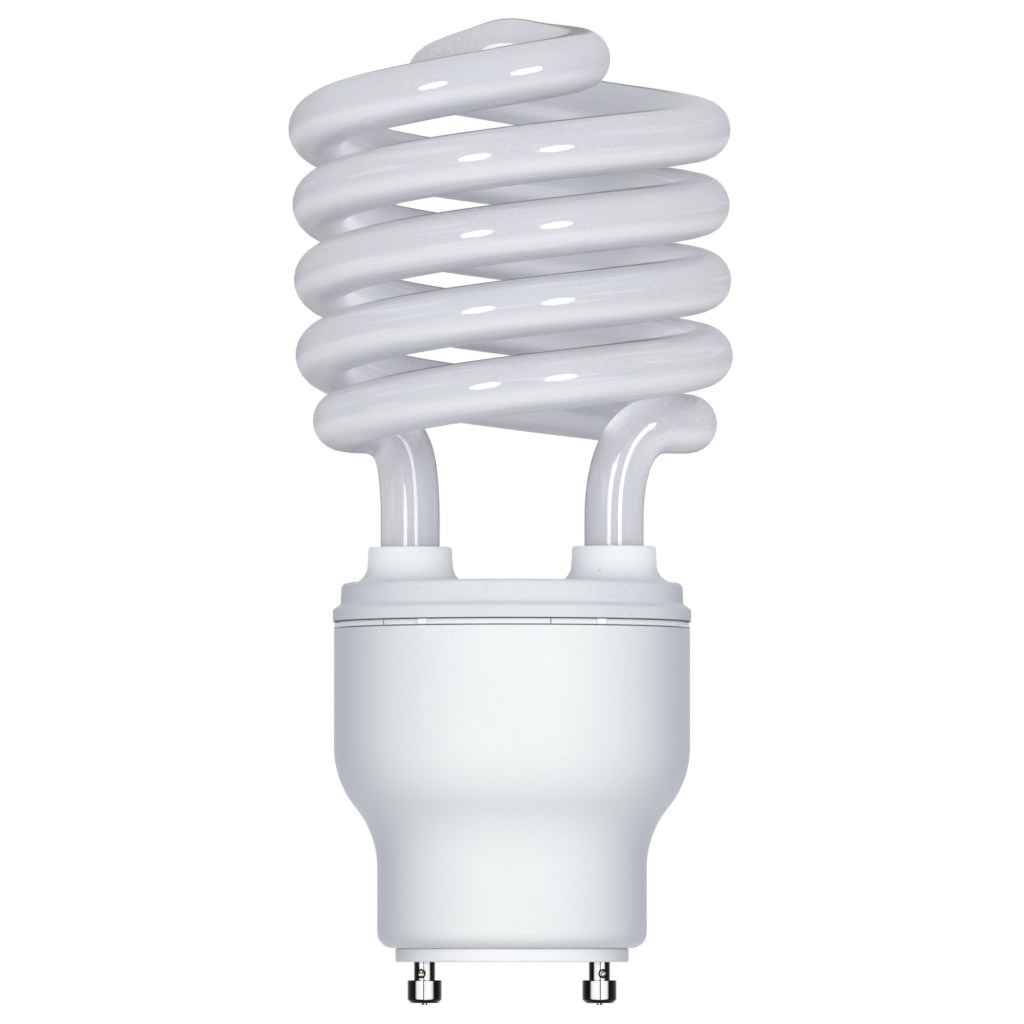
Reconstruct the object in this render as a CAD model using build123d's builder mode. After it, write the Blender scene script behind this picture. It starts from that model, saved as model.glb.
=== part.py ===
"""Spiral compact fluorescent lamp on a two-pin twist-lock base.

Lengths are in millimetres. The origin is the middle of the base disc's underside, +Z runs up the
lamp's axis to the crown of the glass, the two contact pins lie along X, and -Y faces the viewer.
"""

import os
from math import atan, cos, degrees, pi, radians, sin, tan

from build123d import *

os.makedirs("parts", exist_ok=True)

# Contact pins
pin_inset = 4.0
pin_shank_diameter = 2.9
pin_shank_length = 2.5
pin_head_diameter = 4.7
pin_head_length = 3.15
pin_head_chamfer = 0.5
pin_nib_diameter = 0.8
pin_nib_length = 0.25
pin_shoulder_diameter = 4.3
pin_shoulder_height = 0.7
pin_collar_height = 0.8
pin_bore_diameter = 1.7
pin_bore_floor = 0.5
crimp_diameter = 1.2
crimp_depth = 0.35
crimp_turn = 18.0

# Base disc
disc_ledge = 2.5
disc_height = 1.9
disc_edge = 0.25
hook_count = 4
hook_reach = 0.6
hook_height = 0.9
hook_slot = 15.0
pin_boss_wall = 1.3
pin_boss_height = 1.4

# Lower housing
wall = 1.3
neck_radius = 18.5
neck_corner = 2.2
neck_height = 11.0
flare_height = 16.6
body_radius = 24.45
body_height = 16.2
seat_ring = 0.9
rib_count = 4
rib_thickness = 1.6
rib_reach = 1.2
rib_length = 9.0
bead_depth = 0.35
bead_height = 0.9
bead_lift = 1.0

# Upper cover
groove_height = 1.0
groove_depth = 0.6
tab_count = 6
tab_width = 1.4
rim_height = 1.9
rim_overhang = 0.15
rim_rounding = 0.5
shoulder_inset = 1.05
shoulder_height = 3.4
shoulder_rounding = 0.8
skirt_wall = 1.4
skirt_depth = 3.7
cover_wall = 1.5
collar_height = 5.0
collar_radius = 5.73
collar_flare = 0.27
collar_blend = 2.5
collar_rounding = 0.3

# Glass
glass_diameter = 8.1
leg_inset = 10.45
leg_offset = 2.0
leg_end_rounding = 1.2
leg_end_above_board = 5.0
coil_radius = 26.0
coil_lead = 20.75
coil_turns = 2
coil_height = 20.95
steps_per_turn = 12
bend_inset = 2.1
bend_start = 0.04
bend_span = 0.22
crown_swell = 0.15
crown_swell_steps = 3
crown_rise = 11.55
rear_sag = 1.1
glass_lean = 0.021
exhaust_tip_diameter = 2.4
exhaust_tip_length = 2.2
exhaust_tip_taper = 12.0
cement_wall = 2.4
cement_height = 2.6
cement_edge = 0.8

# Corners of the bend from a leg into the coil: share of the reach from the leg out to the coil,
# distance behind the leg, height over the coil's start
leg_bend = (
    (0.13, 0.3, -1.95),
    (0.46, 0.9, 0.95),
    (0.91, 2.9, 0.95),
    (1.02, 8.2, 1.2),
)

# Corners that leave the coil for the crown: inset from the coil's radius, rise over its pitch line
crown_entry = ((0.3, 0.3), (3.3, 0.6))

# Corners of the crown: place across and along as shares of the coil's radius, share of the crown's
# rise, share of the rear strand's sag
crown_corners = (
    (-0.12, 0.75, 0.58, 0.1),
    (-0.33, 0.63, 0.68, 0.5),
    (-0.40, 0.39, 0.79, 1.0),
    (-0.33, 0.15, 0.86, 1.0),
    (-0.16, 0.02, 0.92, 0.5),
)

# Circuit board and its parts
board_thickness = 1.6
lead_diameter = 0.7
lead_stub = 1.0
post_width = 0.9
post_height = 4.2
post_spread = 3.5
post_offset = 4.5
filament_wire_diameter = 0.5
filament_wire_spread = 1.5
filament_wire_bend = 1.0
supply_wire_diameter = 1.3
supply_wire_bend = 12.0
supply_bend_below_flare = 4.0
supply_bend_below_body = 3.5
supply_left_place = (-14.0, -2.6)
supply_right_place = (12.6, 1.6)
capacitor_place = (-6.5, -6.0)
capacitor_diameter = 12.0
capacitor_length = 22.0
capacitor_pitch = 5.0
capacitor_edge = 0.8
sleeve_setback = 1.0
sleeve_wall = 0.25
choke_place = (8.5, -7.0)
choke_width = 15.0
choke_depth = 6.0
choke_height = 14.0
choke_leg = 4.6
choke_pin_share = 0.36
bobbin_wall = 0.6
bobbin_flange = 0.8
winding_build = 2.4
winding_rounding = 1.4
drive_place = (7.5, 9.5)
drive_ring_outer = 9.6
drive_ring_inner = 5.2
drive_ring_height = 4.0
drive_ring_chamfer = 0.3
drive_winding_count = 3
drive_winding_start = 20.0
drive_lead_turn = 5.0
drive_winding_wall = 0.5
drive_lead_diameter = 0.4
drive_winding_angle = 46.0
transistor_size = (8.0, 3.0, 11.0)
transistor_hole = 3.2
transistor_standoff = 2.6
transistor_lead_pitch = 2.3
transistor_angles = (168, 98)
transistor_insets = (3.6, 1.5)
disc_gap = 0.6
drum_inset = 2.85
drum_y = 4.2
drum_diameter = 6.0
drum_height = 8.0
drum_core = 2.6
drum_flange = 1.2
drum_pin_share = 0.3
diode_size = (2.7, 5.2)
diode_count = 4
diode_start = 240.0
diode_step = 13.5
resistor_size = (2.3, 6.2)
resistor_cap = 1.4
resistor_angles = (196, 210, 225, 32)
diac_size = (1.8, 3.8)
diac_angle = 340
fuse_size = (3.3, 8.5)
fuse_cap = 1.8
fuse_angle = 296
cap_swell = 0.15
hairpin_pitch = 2.6
hairpin_gap = 0.7
hairpin_drop = 1.6
rim_margin = 1.5
resonant_capacitor_size = (12.0, 5.0, 9.0)
resonant_capacitor_place = (-6.0, 5.5)
resonant_capacitor_pitch = 10.0
resonant_capacitor_rounding = 1.6
coupling_capacitor_size = (8.0, 4.0, 7.0)
coupling_capacitor_angle = 135
coupling_capacitor_inset = 1.5
coupling_capacitor_pitch = 5.0
coupling_capacitor_rounding = 1.4
disc_capacitor_size = (6.0, 2.5)
disc_capacitor_angle = 62
thermistor_size = (6.0, 2.6)
thermistor_place = (-2.0, 12.2)
disc_lead_pitch = 4.0

# Clearances
running_gap = 0.05
fit_gap = 0.1
lead_gap = 0.12

# Radii and heights along the axis
disc_radius = neck_radius - disc_ledge
spigot_radius = disc_radius - seat_ring
neck_top = disc_height + neck_height
flare_top = neck_top + flare_height
body_top = flare_top + body_height
bore_radius = body_radius - wall
rim_bottom = body_top + groove_height
rim_top = rim_bottom + rim_height
cover_top = rim_top + shoulder_height
cover_underside = cover_top - cover_wall
skirt_radius = bore_radius - fit_gap
board_top = body_top - skirt_depth
board_bottom = board_top - board_thickness
board_radius = bore_radius - 3 * fit_gap
glass_radius = glass_diameter / 2
leg_x = body_radius - leg_inset
leg_bottom = board_top + leg_end_above_board
coil_start = cover_top + coil_height
coil_end = coil_start + coil_turns * coil_lead
pin_x = disc_radius - pin_inset
pin_top = disc_height + pin_boss_height + pin_collar_height

board_holes = []


def radial_plane(angle):
    """Upright plane through the axis: its X runs outwards at the angle, its Y runs up."""
    outwards = (cos(radians(angle)), sin(radians(angle)), 0)
    normal = (sin(radians(angle)), -cos(radians(angle)), 0)
    return Plane(origin=(0, 0, 0), x_dir=outwards, z_dir=normal)


def points_of(corners):
    """Radius and height of each corner of a turned piece's outline."""
    return [(radius, height) for radius, height, _ in corners]


def roundings_of(corners):
    """Rounding of each corner of a turned piece's outline."""
    return [rounding for _, _, rounding in corners]


def flare_arcs(low_radius, high_radius, bottom, height, inset):
    """Points of the S-shaped flare: foot, tangent point and head, moved inwards by inset."""
    half_turn = atan((high_radius - low_radius) / height)
    turn = 2 * half_turn
    arc_radius = height / (2 * sin(turn))
    foot = (low_radius - inset, bottom)
    middle = (
        low_radius + arc_radius - (arc_radius + inset) * cos(turn),
        bottom + (arc_radius + inset) * sin(turn),
    )
    head = (high_radius - inset, bottom + height)
    return foot, middle, head


def corner_radii(points):
    """Largest tangent-arc radius at each corner of a polyline through the points."""
    radii = []
    for before, corner, after in zip(points, points[1:], points[2:]):
        turn = radians((corner - before).get_angle(after - corner))
        shorter_run = min((corner - before).length, (after - corner).length)
        radii.append(0.49 * shorter_run / tan(turn / 2))
    return radii


def coil_point(turn, radius, rise=0.0):
    """Corner of the coil's polyline, whose sides touch a circle of the given radius."""
    corner_radius = radius / cos(pi / steps_per_turn)
    angle = 2 * pi * turn
    return (
        corner_radius * cos(angle),
        corner_radius * sin(angle),
        coil_start + coil_lead * turn + rise,
    )


def lean_at(height):
    """Sideways shift of the glass, which leans a little about the coil's middle."""
    middle = (coil_start + coil_end) / 2 + glass_diameter / 2
    fade = min(1.0, max(0.0, (height - coil_start) / glass_diameter + 1))
    return (middle - height) * glass_lean * fade


def strand_points(side, sag):
    """Corners of one strand, from its leg over two turns to just short of the axis."""
    leg_y = -leg_offset
    side_radius = coil_radius - bend_inset
    reach = side_radius - leg_x
    points = [
        (leg_x, leg_y, leg_bottom),
        (leg_x, leg_y, coil_start - glass_diameter),
    ]
    for share, behind, above in leg_bend:
        points.append((leg_x + share * reach, leg_y + behind, coil_start + above))
    step_count = coil_turns * steps_per_turn
    for step in range(1, step_count + 1):
        turn = step / steps_per_turn
        growth = min(1.0, max(0.0, (turn - bend_start) / bend_span))
        swell = crown_swell * max(0, step - step_count + crown_swell_steps)
        radius = side_radius + bend_inset * sin(growth * pi / 2) + swell
        points.append(coil_point(turn, radius))
    for step, (inset, rise) in enumerate(crown_entry, start=step_count + 1):
        points.append(coil_point(step / steps_per_turn, coil_radius - inset, rise))
    for across, along, rise, sag_share in crown_corners:
        height = coil_end + crown_rise * rise - sag * sag_share
        points.append((across * coil_radius, along * coil_radius, height))
    return [Vector(side * x + lean_at(z), side * y, z) for x, y, z in points]


def add_hole(x, y, diameter=lead_diameter):
    """Keep a place and a size for the holes of the circuit board."""
    board_holes.append((x, y, diameter / 2 + lead_gap))


def standing_part(name, x, y, size, direction, cap=0.0):
    """Round part that stands under the board, with one lead bent back beside its body."""
    diameter, length = size
    body_top_z = board_bottom - lead_stub
    body_bottom_z = body_top_z - length
    pitch = max(hairpin_pitch, diameter / 2 + lead_diameter + hairpin_gap)
    far_x = x + pitch * cos(radians(direction))
    far_y = y + pitch * sin(radians(direction))
    turn_z = body_bottom_z - hairpin_drop
    top_z = board_top + lead_stub
    with BuildPart() as part:
        with BuildLine() as lead:
            Polyline((x, y, top_z), (x, y, turn_z), (far_x, far_y, turn_z), (far_x, far_y, top_z))
        with BuildSketch(Plane(origin=(x, y, top_z), z_dir=(0, 0, -1))):
            Circle(lead_diameter / 2)
        sweep(path=lead.line, transition=Transition.RIGHT)
        with BuildSketch(Plane.XY.offset(body_bottom_z)):
            with Locations((x, y)):
                Circle(diameter / 2)
        extrude(amount=length)
        if cap:
            for cap_bottom in (body_bottom_z, body_top_z - cap):
                with BuildSketch(Plane.XY.offset(cap_bottom)):
                    with Locations((x, y)):
                        Circle(diameter / 2 + cap_swell)
                extrude(amount=cap)
    add_hole(x, y)
    add_hole(far_x, far_y)
    part.part.label = name
    export_step(part.part, f"parts/{name}.step")


def rim_place(angle, half_depth):
    """Place of a part beside the board's edge, at the angle, with the rim margin outside it."""
    radius = board_radius - rim_margin - half_depth
    return radius * cos(radians(angle)), radius * sin(radians(angle))


def boxed_part(name, x, y, angle, size, lead_pitch, rounding):
    """Dipped capacitor or disc: a rounded block against the board with two straight leads."""
    width, depth, height = size
    lead_places = []
    for side in (-1, 1):
        along = side * lead_pitch / 2
        lead_places.append((x + along * cos(radians(angle)), y + along * sin(radians(angle))))
    with BuildPart() as part:
        with BuildSketch(Plane.XY.offset(board_bottom - height)):
            with Locations(Location((x, y, 0), (0, 0, angle))):
                RectangleRounded(width, depth, rounding)
        extrude(amount=height)
        chamfer(part.faces().sort_by(Axis.Z)[0].edges(), rounding * 0.5)
        with BuildSketch(Plane.XY.offset(board_bottom)):
            with Locations(*lead_places):
                Circle(lead_diameter / 2)
        extrude(amount=board_thickness + lead_stub)
    for place in lead_places:
        add_hole(*place)
    part.part.label = name
    export_step(part.part, f"parts/{name}.step")


def disc_part(name, x, y, angle, size):
    """Upright round disc just under the board, with two leads from its middle."""
    diameter, thickness = size
    middle_z = board_bottom - disc_gap - diameter / 2
    normal = (sin(radians(angle)), -cos(radians(angle)), 0)
    across = (cos(radians(angle)), sin(radians(angle)), 0)
    lead_places = []
    for side in (-1, 1):
        along = side * disc_lead_pitch / 2
        lead_places.append((x + along * across[0], y + along * across[1]))
    with BuildPart() as part:
        with BuildSketch(Plane(origin=(x, y, middle_z), x_dir=across, z_dir=normal)):
            Circle(diameter / 2)
        extrude(amount=thickness / 2, both=True)
        chamfer(part.edges().filter_by(GeomType.CIRCLE), thickness * 0.25)
        with BuildSketch(Plane.XY.offset(middle_z)):
            with Locations(*lead_places):
                Circle(lead_diameter / 2)
        extrude(amount=board_top + lead_stub - middle_z)
    for place in lead_places:
        add_hole(*place)
    part.part.label = name
    export_step(part.part, f"parts/{name}.step")


def transistor(name, x, y, angle):
    """Flat plastic transistor that hangs from three leads, with its fixing hole."""
    width, depth, height = transistor_size
    body_top_z = board_bottom - transistor_standoff
    across = (cos(radians(angle)), sin(radians(angle)), 0)
    normal = (sin(radians(angle)), -cos(radians(angle)), 0)
    front = Plane(origin=(x, y, body_top_z - height / 2), x_dir=across, z_dir=normal)
    lead_places = []
    for step in (-1, 0, 1):
        along = step * transistor_lead_pitch
        lead_places.append((x + along * across[0], y + along * across[1]))
    with BuildPart() as part:
        with BuildSketch(front):
            Rectangle(width, height)
            with Locations((0, transistor_hole - height / 2)):
                Circle(transistor_hole / 2, mode=Mode.SUBTRACT)
        extrude(amount=depth / 2, both=True)
        with BuildSketch(Plane.XY.offset(body_top_z)):
            with Locations(*lead_places):
                Circle(lead_diameter / 2)
        extrude(amount=board_top + lead_stub - body_top_z)
    for place in lead_places:
        add_hole(*place)
    part.part.label = name
    export_step(part.part, f"parts/{name}.step")


# Spiral glass tube: both strands in one sweep, with closed leg ends and one exhaust tip
right_strand = strand_points(1, rear_sag)
left_strand = strand_points(-1, 0.0)
crown_z = coil_end + crown_rise
glass_route = right_strand + [Vector(lean_at(crown_z), 0, crown_z)] + left_strand[::-1]
glass_radii = corner_radii(glass_route)
print("bends of the glass", [round(radius, 1) for radius in glass_radii])

with BuildPart() as spiral_tube:
    with BuildLine() as glass_path:
        FilletPolyline(*glass_route, radius=glass_radii)
    with BuildSketch(glass_path.line ^ 0):
        Circle(glass_radius)
    sweep(path=glass_path.line)
    leg_ends = spiral_tube.faces().filter_by(GeomType.PLANE).sort_by(Axis.Z)[:2]
    fillet(leg_ends.edges(), leg_end_rounding)
    with BuildSketch(Plane(origin=(-leg_x, leg_offset, leg_bottom), z_dir=(0, 0, -1))):
        Circle(exhaust_tip_diameter / 2)
    extrude(amount=exhaust_tip_length, taper=exhaust_tip_taper)
spiral_tube.part.label = "spiral_tube"
export_step(spiral_tube.part, "parts/spiral_tube.step")

# Base disc with its spigot, snap hooks and pin bosses
hook_bottom = disc_height + wall + running_gap
hook_top = hook_bottom + hook_height
spigot_outside = spigot_radius - fit_gap
spigot_inside = spigot_outside - wall
pin_places = ((-pin_x, 0), (pin_x, 0))
plate_corners = (
    (0, 0, 0),
    (disc_radius, 0, disc_edge),
    (disc_radius, disc_height, disc_edge),
    (spigot_outside, disc_height, 0),
    (spigot_outside, hook_bottom, 0),
    (spigot_outside + hook_reach, hook_bottom, 0),
    (spigot_outside, hook_top, 0),
    (spigot_inside, hook_top, 0),
    (spigot_inside, disc_height, 0),
    (0, disc_height, 0),
)

with BuildPart() as base_plate:
    with BuildSketch(Plane.XZ):
        with BuildLine():
            FilletPolyline(points_of(plate_corners), radius=roundings_of(plate_corners), close=True)
        make_face()
    revolve(axis=Axis.Z)
    with BuildSketch(Plane.XY.offset(disc_height)):
        with PolarLocations(spigot_outside, hook_count):
            Rectangle(4 * wall, hook_slot)
    extrude(amount=hook_top, mode=Mode.SUBTRACT)
    with BuildSketch(Plane.XY.offset(disc_height)):
        with Locations(*pin_places):
            Circle(pin_shank_diameter / 2 + pin_boss_wall)
    extrude(amount=pin_boss_height)
    with BuildSketch(Plane.XY):
        with Locations(*pin_places):
            Circle(pin_shank_diameter / 2 + running_gap)
    extrude(amount=disc_height + pin_boss_height, mode=Mode.SUBTRACT)
    with BuildSketch(Plane.XY):
        with Locations(*pin_places):
            Circle(pin_shoulder_diameter / 2 + running_gap)
    extrude(amount=pin_shoulder_height + running_gap, mode=Mode.SUBTRACT)
base_plate.part.label = "base_plate"
export_step(base_plate.part, "parts/base_plate.step")


# Contact pins: turned, hollow from above, crimped on the viewer's side onto the supply wires
def contact_pin(name, side):
    """One stepped pin: head, shank, shoulder under the disc and a rolled collar over its boss."""
    head_bottom = -pin_shank_length - pin_head_length
    shank = pin_shank_diameter / 2
    head = pin_head_diameter / 2
    shoulder = pin_shoulder_diameter / 2
    boss_top = disc_height + pin_boss_height + running_gap
    corners = (
        (0, head_bottom - pin_nib_length, 0),
        (pin_nib_diameter / 2, head_bottom - pin_nib_length, 0.1),
        (pin_nib_diameter / 2, head_bottom, 0),
        (head - pin_head_chamfer, head_bottom, 0.3),
        (head, head_bottom + pin_head_chamfer, 0.3),
        (head, -pin_shank_length, 0.15),
        (shank, -pin_shank_length, 0),
        (shank, 0, 0),
        (shoulder, 0, 0),
        (shoulder, pin_shoulder_height, 0),
        (shank, pin_shoulder_height, 0),
        (shank, boss_top, 0),
        (shoulder, boss_top, 0),
        (shoulder, pin_top, 0.3),
        (pin_bore_diameter / 2, pin_top, 0),
        (pin_bore_diameter / 2, -pin_shank_length + pin_bore_floor, 0),
        (0, -pin_shank_length + pin_bore_floor, 0),
    )
    crimp_angle = radians(side * crimp_turn - 90)
    crimp_direction = Vector(cos(crimp_angle), sin(crimp_angle), 0)
    crimp_place = crimp_direction * (shank - crimp_depth) + Vector(0, 0, -0.64 * pin_shank_length)
    with BuildPart() as pin:
        with BuildSketch(Plane.XZ):
            with BuildLine():
                FilletPolyline(points_of(corners), radius=roundings_of(corners), close=True)
            make_face()
        revolve(axis=Axis.Z)
        with BuildSketch(Plane(origin=crimp_place, z_dir=crimp_direction)):
            Circle(crimp_diameter / 2)
        extrude(amount=crimp_depth * 2, mode=Mode.SUBTRACT)
    placed = pin.part.moved(Location((side * pin_x, 0, 0)))
    placed.label = name
    export_step(placed, f"parts/{name}.step")


contact_pin("contact_pin_left", -1)
contact_pin("contact_pin_right", 1)

# Lower housing: neck, S-shaped flare and straight wall, with a bead groove and board ribs
outer_foot, outer_middle, outer_head = flare_arcs(neck_radius, body_radius, neck_top, flare_height, 0)
inner_foot, inner_middle, inner_head = flare_arcs(neck_radius, body_radius, neck_top, flare_height, wall)
flare_turn = 2 * atan((body_radius - neck_radius) / flare_height)
bead_bottom = board_top + bead_lift
bead_top = bead_bottom + bead_height
groove_radius = bore_radius + bead_depth

with BuildPart() as lower_housing:
    with BuildSketch(Plane.XZ):
        with BuildLine():
            Line((spigot_radius, disc_height), (neck_radius - neck_corner, disc_height))
            TangentArc(
                (neck_radius - neck_corner, disc_height),
                (neck_radius, disc_height + neck_corner),
                tangent=(1, 0),
            )
            Line((neck_radius, disc_height + neck_corner), outer_foot)
            TangentArc(outer_foot, outer_middle, tangent=(0, 1))
            TangentArc(outer_middle, outer_head, tangent=(sin(flare_turn), cos(flare_turn)))
            Polyline(
                outer_head,
                (body_radius, body_top),
                (bore_radius, body_top),
                (bore_radius, bead_top + running_gap + bead_depth),
                (groove_radius, bead_top + running_gap),
                (groove_radius, bead_bottom - running_gap),
                (bore_radius, bead_bottom - running_gap - bead_depth),
                inner_head,
            )
            TangentArc(inner_head, inner_middle, tangent=(0, -1))
            TangentArc(inner_middle, inner_foot, tangent=(-sin(flare_turn), -cos(flare_turn)))
            Polyline(
                inner_foot,
                (neck_radius - wall, disc_height + wall),
                (spigot_radius, disc_height + wall),
                (spigot_radius, disc_height),
            )
        make_face()
    revolve(axis=Axis.Z)
    rib_middle = bore_radius - rib_reach / 2 + wall / 4
    for rib in range(rib_count):
        rib_angle = 45 + rib * 360 / rib_count
        with BuildSketch(Plane.XY.offset(board_bottom - rib_length)):
            with PolarLocations(rib_middle, 1, start_angle=rib_angle):
                Rectangle(rib_reach + wall / 2, rib_thickness)
        extrude(amount=rib_length)
lower_housing.part.label = "lower_housing"
export_step(lower_housing.part, "parts/lower_housing.step")

# Upper cover: skirt with a snap bead, groove with its tabs, rim, shoulder and two leg collars
rim_radius = body_radius + rim_overhang
shoulder_radius = body_radius - shoulder_inset
groove_wall_radius = body_radius - groove_depth
leg_places = ((-leg_x, leg_offset), (leg_x, -leg_offset))
cover_corners = (
    (0, cover_underside, 0),
    (skirt_radius - skirt_wall, cover_underside, 0.5),
    (skirt_radius - skirt_wall, board_top, 0),
    (skirt_radius, board_top, 0),
    (skirt_radius, bead_bottom - bead_depth, 0),
    (skirt_radius + bead_depth, bead_bottom, 0),
    (skirt_radius + bead_depth, bead_top, 0),
    (skirt_radius, bead_top + bead_depth, 0),
    (skirt_radius, body_top, 0),
    (groove_wall_radius, body_top, 0),
    (groove_wall_radius, rim_bottom, 0),
    (rim_radius, rim_bottom, 0.15),
    (rim_radius, rim_top - rim_rounding / 2, rim_rounding),
    (shoulder_radius + 0.15, rim_top + rim_rounding, rim_rounding),
    (shoulder_radius, cover_top, shoulder_rounding),
    (0, cover_top, 0),
)

with BuildPart() as upper_cover:
    with BuildSketch(Plane.XZ):
        with BuildLine():
            FilletPolyline(points_of(cover_corners), radius=roundings_of(cover_corners), close=True)
        make_face()
    revolve(axis=Axis.Z)
    with BuildSketch(Plane.XY.offset(cover_top)):
        with Locations(*leg_places):
            Circle(collar_radius + collar_flare)
    extrude(amount=collar_height, taper=degrees(atan(collar_flare / collar_height)))
    collar_tops = upper_cover.faces().sort_by(Axis.Z)[-2:]
    fillet(collar_tops.edges(), collar_rounding)
    collar_feet = [
        edge
        for edge in upper_cover.edges().filter_by(GeomType.CIRCLE)
        if abs(edge.radius - collar_radius - collar_flare) < 0.01 and edge.center().Z < cover_top + 0.01
    ]
    fillet(collar_feet, collar_blend)
    with BuildSketch(Plane.XY.offset(body_top)):
        with PolarLocations(groove_wall_radius, tab_count):
            Rectangle(2 * (groove_depth - running_gap), tab_width)
        Circle(groove_wall_radius - running_gap, mode=Mode.SUBTRACT)
    extrude(amount=groove_height)
    with BuildSketch(Plane.XY.offset(cover_underside)):
        with Locations(*leg_places):
            Circle(glass_radius + fit_gap)
    extrude(amount=cover_wall + collar_height, mode=Mode.SUBTRACT)
upper_cover.part.label = "upper_cover"
export_step(upper_cover.part, "parts/upper_cover.step")

# Cement that holds each leg under the cover
for name, place in zip(("tube_cement_left", "tube_cement_right"), leg_places):
    with BuildPart() as cement:
        with BuildSketch(Plane.XY.offset(cover_underside - cement_height)):
            with Locations(place):
                Circle(glass_radius + cement_wall)
                Circle(glass_radius + running_gap, mode=Mode.SUBTRACT)
        extrude(amount=cement_height)
        cement_foot = cement.faces().sort_by(Axis.Z)[0].edges().sort_by(SortBy.LENGTH)[-1]
        chamfer(cement_foot, cement_edge)
    cement.part.label = name
    export_step(cement.part, f"parts/{name}.step")

# Electrolytic capacitor that hangs into the neck: can and shrunk sleeve
capacitor_x, capacitor_y = capacitor_place
can_radius = capacitor_diameter / 2
can_bottom = board_bottom - capacitor_length
capacitor_lead_x = (capacitor_x - capacitor_pitch / 2, capacitor_x + capacitor_pitch / 2)
with BuildPart() as capacitor_can:
    with BuildSketch(Plane.XY.offset(can_bottom)):
        with Locations((capacitor_x, capacitor_y)):
            Circle(can_radius)
    extrude(amount=capacitor_length)
    chamfer(capacitor_can.faces().sort_by(Axis.Z)[0].edges(), capacitor_edge)
    with BuildSketch(Plane.XY.offset(board_bottom)):
        with Locations(*[(x, capacitor_y) for x in capacitor_lead_x]):
            Circle(lead_diameter / 2)
    extrude(amount=board_thickness + lead_stub)
for x in capacitor_lead_x:
    add_hole(x, capacitor_y)
capacitor_can.part.label = "capacitor_can"
export_step(capacitor_can.part, "parts/capacitor_can.step")

with BuildPart() as capacitor_sleeve:
    with BuildSketch(Plane.XY.offset(can_bottom + sleeve_setback)):
        with Locations((capacitor_x, capacitor_y)):
            Circle(can_radius + sleeve_wall)
            Circle(can_radius, mode=Mode.SUBTRACT)
    extrude(amount=capacitor_length - sleeve_setback)
capacitor_sleeve.part.label = "capacitor_sleeve"
export_step(capacitor_sleeve.part, "parts/capacitor_sleeve.step")

# Lamp choke: two E-shaped ferrite halves, bobbin and winding
choke_x, choke_y = choke_place
choke_middle = board_bottom - choke_height / 2
choke_half = choke_height / 2 - bobbin_wall
core_window_height = choke_half - choke_leg / 2
for name, sign in (("choke_core_upper", 1), ("choke_core_lower", -1)):
    back_z = choke_middle + sign * choke_half
    with BuildPart() as core:
        with BuildSketch(Plane.XZ.offset(-choke_y - choke_depth / 2)):
            with Locations((choke_x, choke_middle + sign * choke_half / 2)):
                Rectangle(choke_width, choke_half)
            for side in (-1, 1):
                window_width = (choke_width - 2 * choke_leg) / 2
                window_x = choke_x + side * (choke_leg + window_width) / 2
                with Locations((window_x, choke_middle + sign * core_window_height / 2)):
                    Rectangle(window_width, core_window_height, mode=Mode.SUBTRACT)
        extrude(amount=choke_depth)
    core.part.label = name
    export_step(core.part, f"parts/{name}.step")

bobbin_width = choke_leg + 2 * (fit_gap + bobbin_wall)
bobbin_depth = choke_depth + 2 * (fit_gap + bobbin_wall)
bobbin_height = 2 * core_window_height - fit_gap
flange_width = choke_width - choke_leg - 2 * fit_gap
flange_depth = bobbin_depth + 2 * winding_build
foot_depth = (flange_depth - choke_depth) / 2 - bobbin_wall
foot_y = (flange_depth - foot_depth) / 2
with BuildPart() as choke_bobbin:
    with BuildSketch(Plane.XY.offset(choke_middle - bobbin_height / 2)):
        with Locations((choke_x, choke_y)):
            Rectangle(bobbin_width, bobbin_depth)
    extrude(amount=bobbin_height)
    for flange_z in (choke_middle - bobbin_height / 2, choke_middle + bobbin_height / 2 - bobbin_flange):
        with BuildSketch(Plane.XY.offset(flange_z)):
            with Locations((choke_x, choke_y)):
                Rectangle(flange_width, flange_depth)
        extrude(amount=bobbin_flange)
    foot_top = choke_middle + bobbin_height / 2
    with BuildSketch(Plane.XY.offset(foot_top)):
        with Locations((choke_x, choke_y - foot_y), (choke_x, choke_y + foot_y)):
            Rectangle(flange_width, foot_depth)
    extrude(amount=board_bottom - foot_top)
    choke_pins = [
        (choke_x + across * flange_width * choke_pin_share, choke_y + along * foot_y)
        for across in (-1, 1)
        for along in (-1, 1)
    ]
    with BuildSketch(Plane.XY.offset(board_bottom)):
        with Locations(*choke_pins):
            Circle(lead_diameter / 2)
    extrude(amount=board_thickness + lead_stub)
    with BuildSketch(Plane.XY.offset(choke_middle - bobbin_height)):
        with Locations((choke_x, choke_y)):
            Rectangle(choke_leg + 2 * fit_gap, choke_depth + 2 * fit_gap)
    extrude(amount=2 * bobbin_height, mode=Mode.SUBTRACT)
for place in choke_pins:
    add_hole(*place)
choke_bobbin.part.label = "choke_bobbin"
export_step(choke_bobbin.part, "parts/choke_bobbin.step")

winding_height = bobbin_height - 2 * bobbin_flange - 2 * running_gap
with BuildPart() as choke_winding:
    with BuildSketch(Plane.XY.offset(choke_middle - winding_height / 2)):
        with Locations((choke_x, choke_y)):
            RectangleRounded(flange_width - 2 * fit_gap, flange_depth - 2 * fit_gap, winding_rounding)
            Rectangle(bobbin_width + 2 * running_gap, bobbin_depth + 2 * running_gap, mode=Mode.SUBTRACT)
    extrude(amount=winding_height)
choke_winding.part.label = "choke_winding"
export_step(choke_winding.part, "parts/choke_winding.step")

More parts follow.
